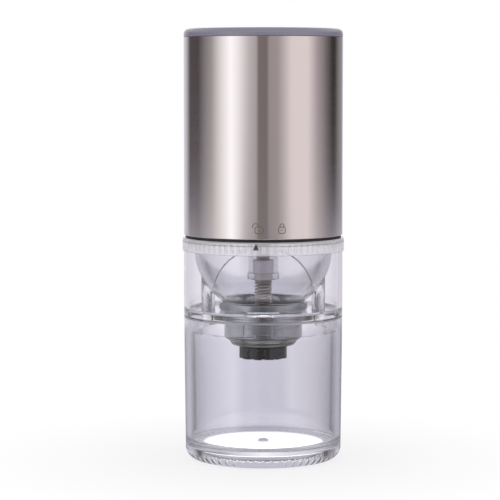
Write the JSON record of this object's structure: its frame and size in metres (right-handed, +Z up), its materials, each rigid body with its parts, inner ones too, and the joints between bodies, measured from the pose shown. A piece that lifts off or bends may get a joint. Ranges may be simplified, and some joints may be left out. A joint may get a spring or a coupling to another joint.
{
  "type": "portable electric grinder",
  "caption": "Cordless hand-held grinder: steel motor housing over a clear hopper with a conical burr mill and a clear powder cup, all joined by twist-locks.",
  "frame": {"origin": "centre of the cup's foot, on the surface that the grinder stands on", "axes": "+Z up along the mill's axis, -Y to the front, where the lock marks are, +X to the right seen from the front"},
  "size_m": [0.0712, 0.0712, 0.1895],
  "materials": {
    "clear_plastic": "clear, polished, injection moulded",
    "smoky_clear_plastic": "smoky clear, polished, injection moulded",
    "clear_silicone": "translucent silicone, satin",
    "brushed_stainless": "satin, finely brushed round the sleeve",
    "black_silicone": "moulded silicone, satin",
    "black_plastic": "moulded ABS, fine texture",
    "grey_plastic": "moulded, satin",
    "white_nylon": "moulded nylon, satin",
    "white_ceramic": "sintered zirconia, unglazed satin",
    "spring_steel": "drawn wire, oiled",
    "machined_steel": "turned and ground",
    "zinc_plated_steel": "bright zinc plating",
    "plated_steel_can": "deep drawn and nickel plated",
    "sintered_bronze": "sintered, oil filled",
    "brass": "turned and milled",
    "battery_wrap": "shrunk PVC film over a steel can",
    "board_laminate": "glass epoxy with solder mask",
    "switch_plastic": "moulded",
    "light_guide": "frosted light guide",
    "button_metal": "spun and anodised"
  },
  "bodies": {
    "cup": {"powder_cup": "clear_plastic"},
    "cup_ring": {"cup_seal": "clear_silicone"},
    "hopper": {"hopper_shell": "clear_plastic", "collar": "clear_plastic", "bean_bowl": "clear_plastic", "bridge": "clear_plastic", "bridge_bush": "white_nylon", "hopper_screws": "zinc_plated_steel", "burr_housing": "grey_plastic", "ring_burr": "white_ceramic", "burr_retainer": "black_plastic"},
    "mill": {"mill_shaft": "machined_steel", "drive_coupler": "white_nylon"},
    "cone": {"cone_burr": "white_ceramic", "detent_washer": "spring_steel", "burr_spring": "spring_steel"},
    "dial": {"grind_dial": "black_plastic", "dial_nut": "brass"},
    "neck_ring": {"neck_seal": "black_silicone"},
    "motor_unit": {"motor_base": "black_plastic", "steel_sleeve": "brushed_stainless", "chassis": "grey_plastic", "chassis_screws": "zinc_plated_steel", "battery_left": "battery_wrap", "battery_right": "battery_wrap", "gearbox_case": "grey_plastic", "gearbox_cover": "grey_plastic", "output_bush": "sintered_bronze", "motor_can": "plated_steel_can", "motor_cap": "white_nylon", "gearbox_screws": "zinc_plated_steel", "circuit_board": "board_laminate", "board_screws": "zinc_plated_steel", "charge_socket": "zinc_plated_steel", "push_switch": "switch_plastic", "inner_lid": "black_plastic", "top_panel": "grey_plastic", "top_lens": "smoky_clear_plastic", "light_ring": "light_guide", "port_bezel": "black_plastic"},
    "output": {"planet_carrier": "machined_steel", "drive_bit": "machined_steel"},
    "planet_1": {"planet_gear_1": "white_nylon"},
    "planet_2": {"planet_gear_2": "white_nylon"},
    "planet_3": {"planet_gear_3": "white_nylon"},
    "rotor": {"motor_rotor": "machined_steel", "sun_pinion": "brass"},
    "button": {"power_button": "button_metal", "button_spring": "spring_steel"},
    "cover": {"port_cover": "black_silicone"}
  },
  "joints": [
    {"name": "hopper_lift", "type": "slide", "parent": "cup", "child": "cup_ring", "axis": [0, 0, 1], "range_m": [0, 0.04]},
    {"name": "hopper_twist", "type": "hinge", "parent": "cup_ring", "child": "hopper", "pos_m": [0, 0, 0.0637], "axis": [0, 0, 1], "range_deg": [0, 9]},
    {"name": "mill_spin", "type": "hinge", "parent": "hopper", "child": "mill", "pos_m": [0, 0, 0.08], "axis": [0, 0, 1], "continuous": true},
    {"name": "burr_lift", "type": "slide", "parent": "mill", "child": "cone", "axis": [0, 0, 1], "range_m": [-0.0007, 0.00035], "deforming": ["burr_spring"]},
    {"name": "grind_dial_turn", "type": "hinge", "parent": "cone", "child": "dial", "pos_m": [0, 0, 0.05], "axis": [0, 0, 1], "range_deg": [-360, 180]},
    {"name": "housing_lift", "type": "slide", "parent": "hopper", "child": "neck_ring", "axis": [0, 0, 1], "range_m": [0, 0.04]},
    {"name": "housing_twist", "type": "hinge", "parent": "neck_ring", "child": "motor_unit", "pos_m": [0, 0, 0.0993], "axis": [0, 0, 1], "range_deg": [-16, 0]},
    {"name": "output_spin", "type": "hinge", "parent": "motor_unit", "child": "output", "pos_m": [0, 0, 0.1], "axis": [0, 0, 1], "continuous": true},
    {"name": "planet_spin_1", "type": "hinge", "parent": "output", "child": "planet_1", "pos_m": [0.0072, 0, 0.115], "axis": [0, 0, 1], "continuous": true},
    {"name": "planet_spin_2", "type": "hinge", "parent": "output", "child": "planet_2", "pos_m": [-0.0036, 0.00624, 0.115], "axis": [0, 0, 1], "continuous": true},
    {"name": "planet_spin_3", "type": "hinge", "parent": "output", "child": "planet_3", "pos_m": [-0.0036, -0.00624, 0.115], "axis": [0, 0, 1], "continuous": true},
    {"name": "rotor_spin", "type": "hinge", "parent": "motor_unit", "child": "rotor", "pos_m": [0, 0, 0.14], "axis": [0, 0, 1], "continuous": true},
    {"name": "power_press", "type": "slide", "parent": "motor_unit", "child": "button", "axis": [0, 0, -1], "range_m": [0, 0.001], "stiffness_N_per_m": 600, "springref_m": -0.0005, "deforming": ["button_spring"]},
    {"name": "cover_swing", "type": "hinge", "parent": "motor_unit", "child": "cover", "pos_m": [0, 0.0342, 0.1755], "axis": [-1, 0, 0], "range_deg": [0, 100]}
  ],
  "couplings": [
    {"joint": "output_spin", "follows": "rotor_spin", "ratio": 0.25},
    {"joint": "mill_spin", "follows": "rotor_spin", "ratio": 0.25},
    {"joint": "planet_spin_1", "follows": "rotor_spin", "ratio": -0.75},
    {"joint": "planet_spin_2", "follows": "rotor_spin", "ratio": -0.75},
    {"joint": "planet_spin_3", "follows": "rotor_spin", "ratio": -0.75},
    {"joint": "grind_dial_turn", "follows": "burr_lift", "rad_per_m": 8976}
  ]
}
